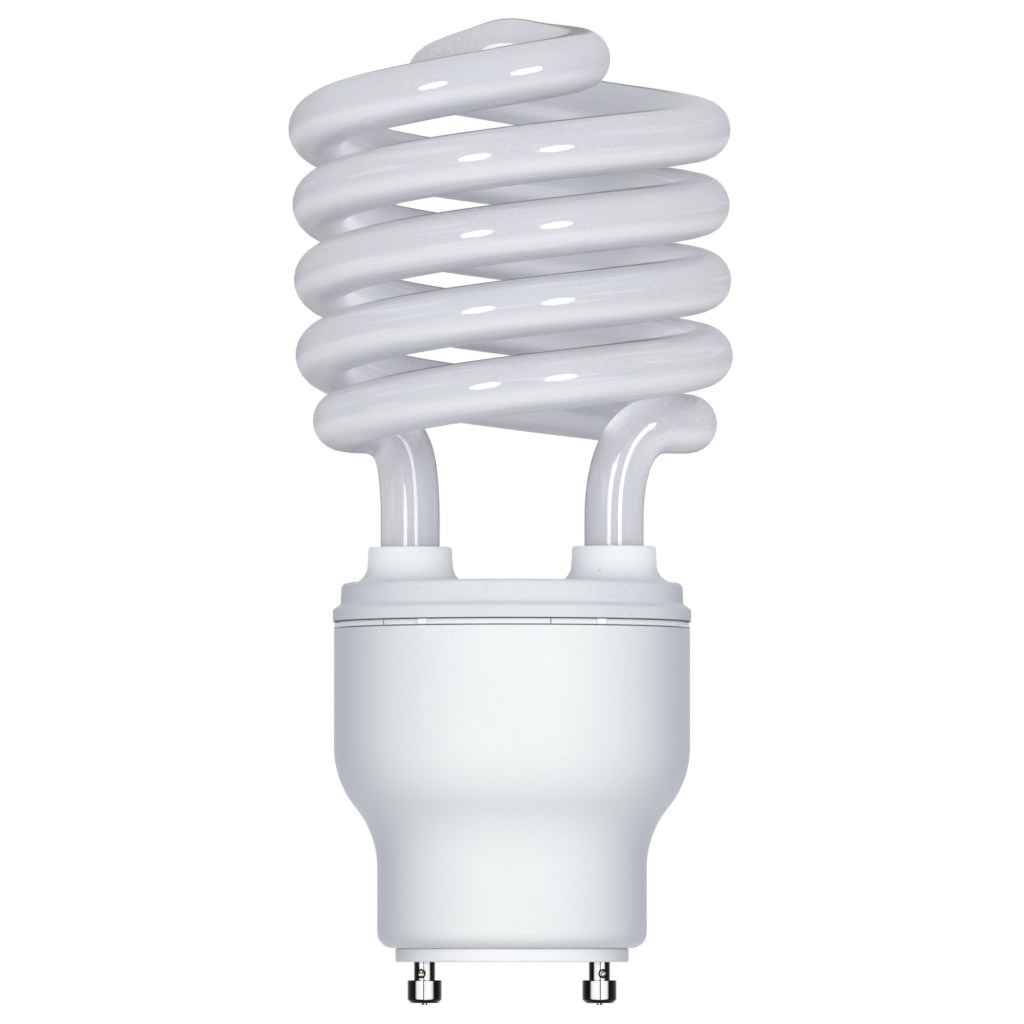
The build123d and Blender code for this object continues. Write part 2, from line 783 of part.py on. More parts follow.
# Drive transformer: a small ferrite ring with three windings that hold it under the board
drive_x, drive_y = drive_place
ring_top = board_bottom - drive_winding_wall - running_gap
ring_bottom = ring_top - drive_ring_height
with BuildPart() as drive_ring:
    with BuildSketch(Plane.XY.offset(ring_bottom)):
        with Locations((drive_x, drive_y)):
            Circle(drive_ring_outer / 2)
            Circle(drive_ring_inner / 2, mode=Mode.SUBTRACT)
    extrude(amount=drive_ring_height)
    chamfer(drive_ring.edges(), drive_ring_chamfer)
drive_ring.part.label = "drive_ring"
export_step(drive_ring.part, "parts/drive_ring.step")

drive_lead_radius = drive_ring_outer / 2 + running_gap + drive_winding_wall / 2
winding_middle_z = ring_bottom + drive_ring_height / 2
ring_build = (drive_ring_outer - drive_ring_inner) / 2
ring_middle_radius = (drive_ring_outer + drive_ring_inner) / 4
for index in range(drive_winding_count):
    start = index * 360 / drive_winding_count + drive_winding_start
    lead_places = []
    for lead_angle in (start + drive_lead_turn, start + drive_winding_angle - drive_lead_turn):
        lead_places.append(
            (
                drive_x + drive_lead_radius * cos(radians(lead_angle)),
                drive_y + drive_lead_radius * sin(radians(lead_angle)),
            )
        )
    ring_plane = radial_plane(start)
    ring_plane = Plane(
        origin=(drive_x, drive_y, winding_middle_z), x_dir=ring_plane.x_dir, z_dir=ring_plane.z_dir
    )
    with BuildPart() as drive_winding:
        with BuildSketch(ring_plane):
            with Locations((ring_middle_radius, 0)):
                Rectangle(
                    ring_build + 2 * (running_gap + drive_winding_wall),
                    drive_ring_height + 2 * (running_gap + drive_winding_wall),
                )
                Rectangle(
                    ring_build + 2 * running_gap,
                    drive_ring_height + 2 * running_gap,
                    mode=Mode.SUBTRACT,
                )
        revolve(axis=Axis((drive_x, drive_y, 0), (0, 0, 1)), revolution_arc=drive_winding_angle)
        with BuildSketch(Plane.XY.offset(board_bottom)):
            with Locations(*lead_places):
                Circle(drive_lead_diameter / 2)
        extrude(amount=board_thickness + lead_stub)
    for place in lead_places:
        add_hole(*place, drive_lead_diameter)
    drive_winding.part.label = f"drive_winding_{index + 1}"
    export_step(drive_winding.part, f"parts/drive_winding_{index + 1}.step")

# Filter choke: a ferrite drum and its winding
drum_x = board_radius - drum_inset - drum_diameter / 2
drum_bottom = board_bottom - drum_height
drum_pins = [(drum_x, drum_y + side * drum_diameter * drum_pin_share) for side in (-1, 1)]
with BuildPart() as filter_choke_core:
    with BuildSketch(Plane.XY.offset(drum_bottom)):
        with Locations((drum_x, drum_y)):
            Circle(drum_core / 2)
    extrude(amount=drum_height)
    for flange_z in (drum_bottom, board_bottom - drum_flange):
        with BuildSketch(Plane.XY.offset(flange_z)):
            with Locations((drum_x, drum_y)):
                Circle(drum_diameter / 2)
        extrude(amount=drum_flange)
    with BuildSketch(Plane.XY.offset(board_bottom)):
        with Locations(*drum_pins):
            Circle(lead_diameter / 2)
    extrude(amount=board_thickness + lead_stub)
for place in drum_pins:
    add_hole(*place)
filter_choke_core.part.label = "filter_choke_core"
export_step(filter_choke_core.part, "parts/filter_choke_core.step")

with BuildPart() as filter_choke_winding:
    with BuildSketch(Plane.XY.offset(drum_bottom + drum_flange + running_gap)):
        with Locations((drum_x, drum_y)):
            Circle(drum_diameter / 2 - 3 * fit_gap)
            Circle(drum_core / 2 + running_gap, mode=Mode.SUBTRACT)
    extrude(amount=drum_height - 2 * drum_flange - 2 * running_gap)
filter_choke_winding.part.label = "filter_choke_winding"
export_step(filter_choke_winding.part, "parts/filter_choke_winding.step")

# Switching transistors, film and disc capacitors, thermistor
for name, angle, inset in zip(("transistor_left", "transistor_rear"), transistor_angles, transistor_insets):
    transistor(name, *rim_place(angle, transistor_size[1] / 2 + inset), angle + 90)
boxed_part(
    "resonant_capacitor", *resonant_capacitor_place, 0,
    resonant_capacitor_size, resonant_capacitor_pitch, resonant_capacitor_rounding,
)
boxed_part(
    "coupling_capacitor",
    *rim_place(coupling_capacitor_angle, coupling_capacitor_size[1] / 2 + coupling_capacitor_inset),
    coupling_capacitor_angle + 90,
    coupling_capacitor_size, coupling_capacitor_pitch, coupling_capacitor_rounding,
)
disc_part(
    "disc_capacitor", *rim_place(disc_capacitor_angle, disc_capacitor_size[1] / 2),
    disc_capacitor_angle + 90, disc_capacitor_size,
)
disc_part("start_thermistor", *thermistor_place, 0, thermistor_size)

# Axial parts that stand along the board's edge
for index in range(diode_count):
    angle = diode_start + index * diode_step
    x, y = rim_place(angle, diode_size[0] / 2)
    standing_part(f"rectifier_diode_{index + 1}", x, y, diode_size, angle + 90)
for index, angle in enumerate(resistor_angles):
    x, y = rim_place(angle, resistor_size[0] / 2 + cap_swell)
    standing_part(f"resistor_{index + 1}", x, y, resistor_size, angle + 90, resistor_cap)
x, y = rim_place(fuse_angle, fuse_size[0] / 2 + cap_swell)
standing_part("fuse_resistor", x, y, fuse_size, fuse_angle + 90, fuse_cap)
x, y = rim_place(diac_angle, diac_size[0] / 2)
standing_part("diac", x, y, diac_size, diac_angle + 90)

# Wire posts beside the legs, and the filament wires that run to them
for leg_name, leg_side, (place_x, place_y) in zip(("left", "right"), (-1, 1), leg_places):
    for post_name, post_side in (("front", -1), ("rear", 1)):
        post_x = leg_side * (leg_x + post_offset)
        post_y = place_y + post_side * post_spread
        with BuildPart() as wire_post:
            with BuildSketch(Plane.XY.offset(board_bottom)):
                with Locations((post_x, post_y)):
                    Rectangle(post_width, post_width)
            extrude(amount=board_thickness + post_height)
            chamfer(wire_post.faces().sort_by(Axis.Z)[-1].edges(), post_width * 0.2)
        add_hole(post_x, post_y, post_width * 1.42)
        wire_post.part.label = f"wire_post_{leg_name}_{post_name}"
        export_step(wire_post.part, f"parts/wire_post_{leg_name}_{post_name}.step")

        wire_z = board_top + post_height * 0.55
        wire_end_x = post_x - leg_side * post_width / 2
        with BuildPart() as filament_wire:
            with BuildLine() as wire_route:
                FilletPolyline(
                    (place_x, place_y + post_side * filament_wire_spread, leg_bottom),
                    (place_x, place_y + post_side * filament_wire_spread, wire_z),
                    (wire_end_x, post_y, wire_z),
                    radius=filament_wire_bend,
                )
            with BuildSketch(wire_route.line ^ 0):
                Circle(filament_wire_diameter / 2)
            sweep(path=wire_route.line)
        filament_wire.part.label = f"filament_wire_{leg_name}_{post_name}"
        export_step(filament_wire.part, f"parts/filament_wire_{leg_name}_{post_name}.step")

# Supply wires from the bores of the pins to the board
wire_foot_z = -pin_shank_length + pin_bore_floor + fit_gap
supply_wires = (("supply_wire_left", -1, supply_left_place), ("supply_wire_right", 1, supply_right_place))
for name, side, wire_place in supply_wires:
    with BuildPart() as supply_wire:
        with BuildLine() as wire_route:
            FilletPolyline(
                (side * pin_x, 0, wire_foot_z),
                (side * pin_x, 0, neck_top - supply_bend_below_flare),
                (*wire_place, flare_top - supply_bend_below_body),
                (*wire_place, board_top + lead_stub),
                radius=supply_wire_bend,
            )
        with BuildSketch(wire_route.line ^ 0):
            Circle(supply_wire_diameter / 2)
        sweep(path=wire_route.line)
    add_hole(*wire_place, supply_wire_diameter)
    supply_wire.part.label = name
    export_step(supply_wire.part, f"parts/{name}.step")

# Circuit board, clamped between the housing's ribs and the cover's skirt
with BuildPart() as circuit_board:
    with BuildSketch(Plane.XY.offset(board_bottom)):
        Circle(board_radius)
        for x, y, radius in board_holes:
            with Locations((x, y)):
                Circle(radius, mode=Mode.SUBTRACT)
    extrude(amount=board_thickness)
circuit_board.part.label = "circuit_board"
export_step(circuit_board.part, "parts/circuit_board.step")
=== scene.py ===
"""Looks of a spiral compact fluorescent lamp: glossy phosphor glass, satin housing, nickel pins.

Lengths are in metres, but in millimetres in SpiralGlass. The origin is the middle of the base disc's
underside, +Z runs up the lamp's axis and -Y faces the viewer.
"""

import logging
import math
from dataclasses import dataclass
from enum import Enum

import bpy
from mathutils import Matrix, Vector


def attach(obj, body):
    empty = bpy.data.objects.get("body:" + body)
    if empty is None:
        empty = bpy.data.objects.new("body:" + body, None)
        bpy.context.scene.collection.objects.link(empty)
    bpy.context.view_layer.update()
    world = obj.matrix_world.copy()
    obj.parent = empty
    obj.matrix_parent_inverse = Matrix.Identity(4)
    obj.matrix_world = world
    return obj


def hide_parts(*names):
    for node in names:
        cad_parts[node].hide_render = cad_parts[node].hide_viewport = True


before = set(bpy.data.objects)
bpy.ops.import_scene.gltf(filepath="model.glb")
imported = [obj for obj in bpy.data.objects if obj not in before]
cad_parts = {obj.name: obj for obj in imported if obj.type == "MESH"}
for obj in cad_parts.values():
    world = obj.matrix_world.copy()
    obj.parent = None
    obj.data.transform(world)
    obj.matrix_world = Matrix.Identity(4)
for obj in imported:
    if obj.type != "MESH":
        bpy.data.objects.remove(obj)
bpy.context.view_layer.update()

logging.basicConfig(level=logging.INFO, format="%(message)s")
log = logging.getLogger("lamp")

Colour = tuple[float, float, float]
Point = tuple[float, float, float]
Range = tuple[float, float]
Rows = tuple[tuple[float, ...], ...]
Socket = bpy.types.NodeSocket

MM = 0.001
SCATTER_DEPTH = 7.0 * MM
COAT_ROUGHNESS = 0.015
COAT_IOR = 1.6
ROUGHNESS_SPREAD = 0.06
RELIEF_DEPTH = 0.02 * MM
CLOUD_STEP: Range = (0.35, 0.65)
STIPPLE_STEP: Range = (0.3, 0.7)
TURN_STEP: Range = (0.3, 0.9)
BAND_STEP: Range = (0.3, 0.6)
WAVE_DISTORTION = 0.4
SPECK_SCALE = 260.0
SPECK_RADIUS = 0.035
SPECK_RARITY = 0.62
SPECK_COLOUR: Colour = (0.20, 0.17, 0.16)


class Grain(Enum):
    """Fine structure of a surface."""

    STIPPLE = "stipple"
    CLOUD = "cloud"
    TURNS = "turns"
    BANDS = "bands"


class Graph:
    """Node tree that is being written."""

    def __init__(self, tree: bpy.types.NodeTree) -> None:
        """Start on a tree and empty it.

        Args:
            tree: Node tree of a material, world or group.
        """
        self.tree = tree
        tree.nodes.clear()

    def add(self, kind: str, values: dict | None = None, **settings: object) -> bpy.types.Node:
        """Add a node.

        Args:
            kind: Node type, without its ShaderNode prefix.
            values: Input names or numbers with a plain value or a socket to link.
            **settings: Attributes of the node.

        Returns:
            The new node.
        """
        prefix = "" if kind.startswith("NodeGroup") else "ShaderNode"
        node = self.tree.nodes.new(prefix + kind)
        for name, value in settings.items():
            setattr(node, name, value)
        for name, value in (values or {}).items():
            if isinstance(value, Socket):
                self.tree.links.new(value, node.inputs[name])
            else:
                node.inputs[name].default_value = value
        return node

    def math(self, operation: str, *values: object) -> Socket:
        """Add a math node.

        Args:
            operation: Name of the operation.
            *values: Numbers or sockets, in order.

        Returns:
            The result's socket.
        """
        return self.add("Math", dict(enumerate(values)), operation=operation).outputs[0]

    def mix(self, factor: object, first: object, second: object) -> Socket:
        """Blend two colours.

        Args:
            factor: Share of the second colour, a number or a socket.
            first: Colour or socket.
            second: Colour or socket.

        Returns:
            The blended colour's socket.
        """
        values = {0: factor, 6: rgba(first), 7: rgba(second)}
        return self.add("Mix", values, data_type="RGBA").outputs[2]

    def ramp(self, factor: object, low: float, high: float) -> Socket:
        """Turn a value into a smooth step from 0 to 1.

        Args:
            factor: Value or socket.
            low: Value where the step starts.
            high: Value where the step ends.

        Returns:
            The step's socket.
        """
        values = {"Value": factor, "From Min": low, "From Max": high}
        return self.add("MapRange", values, interpolation_type="SMOOTHSTEP").outputs[0]

    def upward(self) -> Socket:
        """Read how far the surface faces up, from -1 to 1."""
        return self.add("SeparateXYZ", {0: self.add("NewGeometry").outputs["Normal"]}).outputs[2]


def rgba(colour: object) -> object:
    """Add alpha to a plain colour and leave a socket as it is."""
    return colour if isinstance(colour, Socket) else (*colour, 1.0)


def surface_group() -> bpy.types.NodeTree:
    """Group that turns a place on the surface into masks for clouds, stipple and specks, and a relief.

    Returns:
        The shader node group.
    """
    group = bpy.data.node_groups.new("surface_grain", "ShaderNodeTree")
    for name, kind in (("Vector", "NodeSocketVector"), ("Cloud Scale", "NodeSocketFloat"),
                       ("Stipple Scale", "NodeSocketFloat"), ("Relief", "NodeSocketFloat")):
        group.interface.new_socket(name, in_out="INPUT", socket_type=kind)
    for name, kind in (("Cloud", "NodeSocketFloat"), ("Stipple", "NodeSocketFloat"),
                       ("Normal", "NodeSocketVector"), ("Speck", "NodeSocketFloat")):
        group.interface.new_socket(name, in_out="OUTPUT", socket_type=kind)
    graph = Graph(group)
    source = graph.add("NodeGroupInput").outputs
    cloud = graph.add("TexNoise", {"Vector": source[0], "Scale": source[1], "Detail": 3.0})
    stipple = graph.add("TexNoise", {"Vector": source[0], "Scale": source[2], "Detail": 2.0})
    bump = graph.add("Bump", {
        "Height": stipple.outputs[0], "Strength": source[3], "Distance": RELIEF_DEPTH})
    cell = graph.add("TexVoronoi", {"Vector": source[0], "Scale": SPECK_SCALE}).outputs
    dot = graph.math("LESS_THAN", cell["Distance"], SPECK_RADIUS)
    chosen = graph.math("GREATER_THAN", cell["Color"], SPECK_RARITY)
    graph.add("NodeGroupOutput", {
        0: graph.ramp(cloud.outputs[0], *CLOUD_STEP),
        1: graph.ramp(stipple.outputs[0], *STIPPLE_STEP),
        2: bump.outputs[0],
        3: graph.math("MULTIPLY", dot, chosen)})
    return group


SURFACE = surface_group()


@dataclass(frozen=True)
class Finish:
    """Colours and surface numbers of one procedural finish.

    Attributes:
        name: Name of the material.
        colour: Main colour.
        tint: Second colour, in clouds, turns or bands.
        edge: Colour of the painted shade where the surface turns away, or None.
        roughness: Spread of the reflection.
        metallic: 1.0 for metal.
        specular: Strength of a plain surface's reflection.
        coat: Weight of the clear layer on top.
        grain: Fine structure.
        cloud_scale: Repeats per metre of the clouds, turns or bands.
        stipple_scale: Repeats per metre of the stipple.
        relief: Strength of the fine relief.
        tint_share: Most of the second colour that shows.
        edge_start: Turn-away value at which the edge colour starts.
        edge_end: Turn-away value at which it is full.
        sideways: True if the edge colour keeps to upright edges.
        translucency: Share of the light that scatters below the surface.
        specks: Strength of the fine dust specks.
    """

    name: str
    colour: Colour
    tint: Colour
    edge: Colour | None = None
    roughness: float = 0.4
    metallic: float = 0.0
    specular: float = 0.5
    coat: float = 0.0
    grain: Grain = Grain.CLOUD
    cloud_scale: float = 90.0
    stipple_scale: float = 2400.0
    relief: float = 0.2
    tint_share: float = 0.3
    edge_start: float = 0.2
    edge_end: float = 1.0
    sideways: bool = True
    translucency: float = 0.0
    specks: float = 0.0

    def material(self) -> bpy.types.Material:
        """Write the finish as a material.

        Returns:
            The new material.
        """
        made = bpy.data.materials.new(self.name)
        made.use_nodes = True
        graph = Graph(made.node_tree)
        place = graph.add("TexCoord").outputs["Object"]
        grain = graph.add("Group", node_tree=SURFACE)
        graph.tree.links.new(place, grain.inputs[0])
        for index, value in enumerate((self.cloud_scale, self.stipple_scale, self.relief), start=1):
            grain.inputs[index].default_value = value
        colour = graph.mix(self.mask(graph, place, grain), self.colour, self.tint)
        coat: object = self.coat
        # Painted shade: the edge colour darkens the surface where it turns away from the viewer.
        if self.edge:
            facing = graph.add("LayerWeight", {"Blend": 0.5}).outputs["Facing"]
            turned = graph.ramp(facing, self.edge_start, self.edge_end)
            if self.coat:
                coat = self.gloss(graph, place, turned)
            if self.sideways:
                upward = graph.upward()
                level = graph.math("SUBTRACT", 1.0, graph.math("MULTIPLY", upward, upward))
                turned = graph.math("MULTIPLY", turned, level)
            colour = graph.mix(turned, colour, self.edge)
        colour = self.extra(graph, place, colour)
        if self.specks:
            dust = graph.math("MULTIPLY", grain.outputs[3], self.specks)
            colour = graph.mix(dust, colour, SPECK_COLOUR)
        roughness = graph.math("MULTIPLY_ADD", grain.outputs[1], ROUGHNESS_SPREAD, self.roughness)
        shader = graph.add("BsdfPrincipled", {
            "Base Color": colour, "Roughness": roughness, "Metallic": self.metallic,
            "Specular IOR Level": self.specular, "Coat Weight": coat,
            "Coat Roughness": COAT_ROUGHNESS, "Coat IOR": COAT_IOR,
            "Subsurface Weight": self.translucency, "Subsurface Radius": (1.0, 1.0, 1.0),
            "Subsurface Scale": SCATTER_DEPTH, "Normal": grain.outputs[2]})
        graph.add("OutputMaterial", {"Surface": shader.outputs[0]})
        return made

    def mask(self, graph: Graph, place: Socket, grain: bpy.types.Node) -> Socket:
        """Choose where the second colour shows.

        Args:
            graph: Graph of the material.
            place: Place on the surface.
            grain: Node of the shared surface group.

        Returns:
            Share of the second colour.
        """
        if self.grain is Grain.STIPPLE:
            share = graph.math("MULTIPLY", grain.outputs[0], grain.outputs[1])
        elif self.grain is Grain.CLOUD:
            share = grain.outputs[0]
        else:
            wave = graph.add("TexWave", {
                "Vector": place, "Scale": self.cloud_scale, "Distortion": WAVE_DISTORTION, "Detail": 1.0},
                bands_direction="Z")
            step = TURN_STEP if self.grain is Grain.TURNS else BAND_STEP
            share = graph.ramp(wave.outputs[1], *step)
        return graph.math("MULTIPLY", share, self.tint_share)

    def gloss(self, graph: Graph, place: Socket, turned: Socket) -> Socket:
        """Fade the clear layer where the surface turns away.

        Args:
            graph: Graph of the material.
            place: Place on the surface.
            turned: 1 where the surface has turned away.

        Returns:
            Weight of the clear layer.
        """
        return graph.math("MULTIPLY", graph.math("SUBTRACT", 1.0, turned), self.coat)

    def extra(self, graph: Graph, place: Socket, colour: Socket) -> Socket:
        """Leave the colour as it is; finishes with marks of their own change this.

        Args:
            graph: Graph of the material.
            place: Place on the surface.
            colour: Colour so far.

        Returns:
            The final colour.
        """
        return colour


@dataclass(frozen=True)
class PlatedPin(Finish):
    """Plated metal with an upright seam and a stained crimp on the viewer's side of each pin.

    Attributes:
        axis: Distance of each pin's axis from the lamp's, along X.
        seam: Place of the seam beside a pin's axis.
        seam_width: Half the width of the seam.
        crimp: Middle of the crimp mark, beside a pin's axis and along Z.
        crimp_radius: Radius of the crimp mark.
        crimp_ring: Half the width of its dark rim.
        stain: Colour of the stain inside it.
        stain_scale: Repeats per metre of the stain.
        stain_step: Noise values between which the stain gives way to bare metal.
        dark: Colour of the seam and the rim.
    """

    axis: float = 12.0 * MM
    seam: float = 0.12 * MM
    seam_width: float = 0.06 * MM
    crimp: Range = (0.45 * MM, -1.6 * MM)
    crimp_radius: float = 0.52 * MM
    crimp_ring: float = 0.13 * MM
    stain: Colour = (0.16, 0.10, 0.035)
    stain_scale: float = 3800.0
    stain_step: Range = (0.45, 0.6)
    dark: Colour = (0.012, 0.011, 0.010)

    def extra(self, graph: Graph, place: Socket, colour: Socket) -> Socket:
        """Draw the seam, the crimp's dark rim and the stain inside it.

        Args:
            graph: Graph of the material.
            place: Place on the surface.
            colour: Colour so far.

        Returns:
            The colour with its marks.
        """
        axes = graph.add("SeparateXYZ", {0: place}).outputs
        across = graph.math("SUBTRACT", graph.math("ABSOLUTE", axes[0]), self.axis)
        front = graph.math("LESS_THAN", axes[1], 0.0)
        away = graph.math("ABSOLUTE", graph.math("SUBTRACT", across, self.seam))
        near = graph.math("MULTIPLY", graph.math("LESS_THAN", away, self.seam_width), front)
        colour = graph.mix(near, colour, self.dark)
        sideways = graph.math("SUBTRACT", across, self.crimp[0])
        upwards = graph.math("SUBTRACT", axes[2], self.crimp[1])
        spread = graph.math("MULTIPLY_ADD", sideways, sideways, graph.math("MULTIPLY", upwards, upwards))
        reach = graph.math("SQRT", spread)
        inside = graph.math("MULTIPLY", graph.math("LESS_THAN", reach, self.crimp_radius), front)
        rim = graph.math("ABSOLUTE", graph.math("SUBTRACT", reach, self.crimp_radius))
        ring = graph.math("MULTIPLY", graph.math("LESS_THAN", rim, self.crimp_ring), front)
        speck = graph.add("TexNoise", {"Vector": place, "Scale": self.stain_scale}).outputs[0]
        stained = graph.mix(graph.ramp(speck, *self.stain_step), self.stain, self.colour)
        return graph.mix(ring, graph.mix(inside, colour, stained), self.dark)


@dataclass(frozen=True)
class GroovedPlastic(Finish):
    """Plastic of the cover, with painted shadow lines in the groove over the housing's edge and painted
    light on the collars.

    Attributes:
        groove_bottom: Height of the groove's lower lip.
        groove_top: Height of its upper lip.
        line: Half the width of the painted shadow line at each lip.
        shade: Colour of the painted shadow lines and of the dark ticks.
        shade_share: Strength of that colour.
        wall: Colour of the painted light between the lips.
        collar_start: Height at which the painted light on the collars starts.
        collar_end: Height at which it is full.
        collar: Colour of the painted light on the collars.
        collar_share: Strength of that colour.
        tick_count: Number of thin dark ticks round the lamp.
        tick_turn: Angle from the front to the first of them.
        tick_share: Width of a tick, as a share of the way to the next.
    """

    groove_bottom: float = 45.82 * MM
    groove_top: float = 46.7 * MM
    line: float = 0.09 * MM
    shade: Colour = (0.10, 0.10, 0.12)
    shade_share: float = 0.9
    wall: Colour = (0.97, 0.975, 0.98)
    collar_start: float = 51.9 * MM
    collar_end: float = 55.5 * MM
    collar: Colour = (0.94, 0.955, 0.96)
    collar_share: float = 0.8
    tick_count: int = 6
    tick_turn: float = math.radians(12.8)
    tick_share: float = 0.006

    def extra(self, graph: Graph, place: Socket, colour: Socket) -> Socket:
        """Paint light on the collars and the groove's wall, paint shadow lines at its lips, and draw dark
        ticks.

        Args:
            graph: Graph of the material.
            place: Place on the surface.
            colour: Colour so far.

        Returns:
            The colour with the collars, the wall and the lines.
        """
        height = graph.add("SeparateXYZ", {0: place}).outputs[2]
        # Painted light: the collars turn lighter with height.
        painted_collar_light = graph.math(
            "MULTIPLY", graph.ramp(height, self.collar_start, self.collar_end), self.collar_share)
        colour = graph.mix(painted_collar_light, colour, self.collar)
        lower = graph.math("ABSOLUTE", graph.math("SUBTRACT", height, self.groove_bottom))
        upper = graph.math("ABSOLUTE", graph.math("SUBTRACT", height, self.groove_top))
        within = graph.math("MULTIPLY", graph.math("GREATER_THAN", height, self.groove_bottom),
                            graph.math("LESS_THAN", height, self.groove_top))
        # Painted light: the groove's wall is lightened where its shade would fall.
        colour = graph.mix(within, colour, self.wall)
        # Painted shadow: fine dark lines at the groove's two lips.
        near = graph.math("LESS_THAN", graph.math("MINIMUM", lower, upper), self.line)
        marks = graph.math("MAXIMUM", near, graph.math("MULTIPLY", within, self.ticks(graph, place)))
        return graph.mix(graph.math("MULTIPLY", marks, self.shade_share), colour, self.shade)

    def ticks(self, graph: Graph, place: Socket) -> Socket:
        """Draw thin dark upright ticks beside the groove's tabs, evenly round the lamp.

        Args:
            graph: Graph of the material.
            place: Place on the surface.

        Returns:
            1 on a tick.
        """
        axes = graph.add("SeparateXYZ", {0: place}).outputs
        angle = graph.math("ARCTAN2", axes[0], graph.math("MULTIPLY", axes[1], -1.0))
        steps = self.tick_count / (2 * math.pi)
        turned = graph.math("MULTIPLY_ADD", angle, steps, 0.5 - self.tick_turn * steps)
        offset = graph.math("ABSOLUTE", graph.math("SUBTRACT", graph.math("FRACT", turned), 0.5))
        return graph.math("LESS_THAN", offset, self.tick_share / 2)


@dataclass(frozen=True)
class CoatedGlass(Finish):
    """Clear glass over white powder, with drawn streaks along each strand and each leg.

    A painted light band runs low on each strand, a fine line of painted shade along its top, and
    painted shade down the edges of the legs.

    Attributes:
        inner_dulling: Share of the gloss that the powdery inside of the coil lacks.
        inner_step: Outward facing over which that dulling comes in.
        lead: Climb of the coil in one turn.
        coil_radius: Radius of the coil's middle line.
        streak_scale: Repeats per metre across the streaks.
        streak_stretch: Scale along the streaks, as a share of that across them.
        streak_step: Noise values between which the cool tint turns to the warm one.
        streak_share: Strength of the tints.
        cool: One tint of the streaks.
        warm: The other tint.
        fine_scale: Repeats per metre across the fine light hairs.
        fine_step: Noise values over which a hair comes in.
        fine_share: Strength of the hairs.
        seam_fade: Angle over which streaks fade out before the unrolled coil's ends meet.
        leg_top: Heights between which the legs' streaks give way to the coil's.
        crown_bottom: Heights over which the hairs come in below the crown.
        band: Colour of the painted light band and of the hairs.
        band_share: Strength of the band.
        band_rise: Upward facing over which the band comes in from above.
        band_fall: Upward facing over which it comes in from below.
        band_sway: How far the streaks shift the band's edges.
        line: Colour of the fine line of painted shade along the top.
        line_share: Strength of that line.
        line_reach: Distances from the lamp's axis, along X, over which it comes in.
        line_upward: Upward facing over which it comes in.
        line_facing: Turn-away values over which it comes in.
        leg_line: Colour of the painted shade down the legs' edges.
        leg_line_share: Strength of those lines.
        leg_facing: Turn-away values over which they come in.
    """

    inner_dulling: float = 0.7
    inner_step: Range = (0.1, -0.3)
    lead: float = 20.75 * MM
    coil_radius: float = 26.0 * MM
    streak_scale: float = 330.0
    streak_stretch: float = 0.05
    streak_step: Range = (0.42, 0.58)
    streak_share: float = 0.6
    cool: Colour = (0.605, 0.64, 0.665)
    warm: Colour = (0.665, 0.62, 0.66)
    fine_scale: float = 1500.0
    fine_step: Range = (0.56, 0.68)
    fine_share: float = 0.3
    seam_fade: float = 0.7
    leg_top: Range = (68.0 * MM, 72.0 * MM)
    crown_bottom: Range = (117.0 * MM, 113.0 * MM)
    band: Colour = (0.84, 0.84, 0.86)
    band_share: float = 0.6
    band_rise: Range = (-0.05, -0.42)
    band_fall: Range = (-0.85, -0.5)
    band_sway: float = 0.3
    line: Colour = (0.20, 0.17, 0.18)
    line_share: float = 0.9
    line_reach: Range = (25.0 * MM, 17.0 * MM)
    line_upward: Range = (0.86, 0.97)
    line_facing: Range = (0.68, 0.8)
    leg_line: Colour = (0.17, 0.14, 0.19)
    leg_line_share: float = 0.7
    leg_facing: Range = (0.6, 0.95)

    def gloss(self, graph: Graph, place: Socket, turned: Socket) -> Socket:
        """Fade the gloss where the surface turns away and on the powdery inside of the coil.

        Args:
            graph: Graph of the material.
            place: Place on the surface.
            turned: 1 where the surface has turned away.

        Returns:
            Weight of the clear layer.
        """
        axes = graph.add("SeparateXYZ", {0: place}).outputs
        flat = graph.add("CombineXYZ", {0: axes[0], 1: axes[1]}).outputs[0]
        outwards = graph.add("VectorMath", {0: flat}, operation="NORMALIZE").outputs["Vector"]
        normal = graph.add("NewGeometry").outputs["Normal"]
        pair = {0: outwards, 1: normal}
        open_side = graph.add("VectorMath", pair, operation="DOT_PRODUCT").outputs["Value"]
        inside = graph.math("MULTIPLY", graph.ramp(open_side, *self.inner_step), self.inner_dulling)
        clear = graph.math("MULTIPLY", graph.math("SUBTRACT", 1.0, inside), self.coat)
        return graph.math("MULTIPLY", graph.math("SUBTRACT", 1.0, turned), clear)

    def unrolled(self, graph: Graph, place: Socket) -> tuple[Socket, Socket]:
        """Unroll the tube, so that noise on it runs in long streaks along the strands and the legs.

        Args:
            graph: Graph of the material.
            place: Place on the surface.

        Returns:
            Place along, out from and up over the coil, or across and along a leg; and a fade to 0
            where the unrolled coil's two ends meet.
        """
        axes = graph.add("SeparateXYZ", {0: place}).outputs
        angle = graph.math("ARCTAN2", axes[1], axes[0])
        climb = graph.math("MULTIPLY", angle, self.lead / (2 * math.pi))
        level = graph.math("SUBTRACT", axes[2], climb)
        reach = graph.math("SQRT", graph.math(
            "MULTIPLY_ADD", axes[0], axes[0], graph.math("MULTIPLY", axes[1], axes[1])))
        along = graph.math("MULTIPLY", angle, self.coil_radius * self.streak_stretch)
        coil = graph.add("CombineXYZ", {0: along, 1: reach, 2: level}).outputs[0]
        leg = graph.add("VectorMath", {0: place, 1: (1.0, 1.0, self.streak_stretch)}, operation="MULTIPLY")
        share = graph.ramp(axes[2], *self.leg_top)
        values = {0: share, 4: leg.outputs[0], 5: coil}
        drawn = graph.add("Mix", values, data_type="VECTOR").outputs[1]
        away = graph.ramp(graph.math("ABSOLUTE", angle), math.pi, math.pi - self.seam_fade)
        return drawn, graph.math("MAXIMUM", away, graph.math("SUBTRACT", 1.0, share))

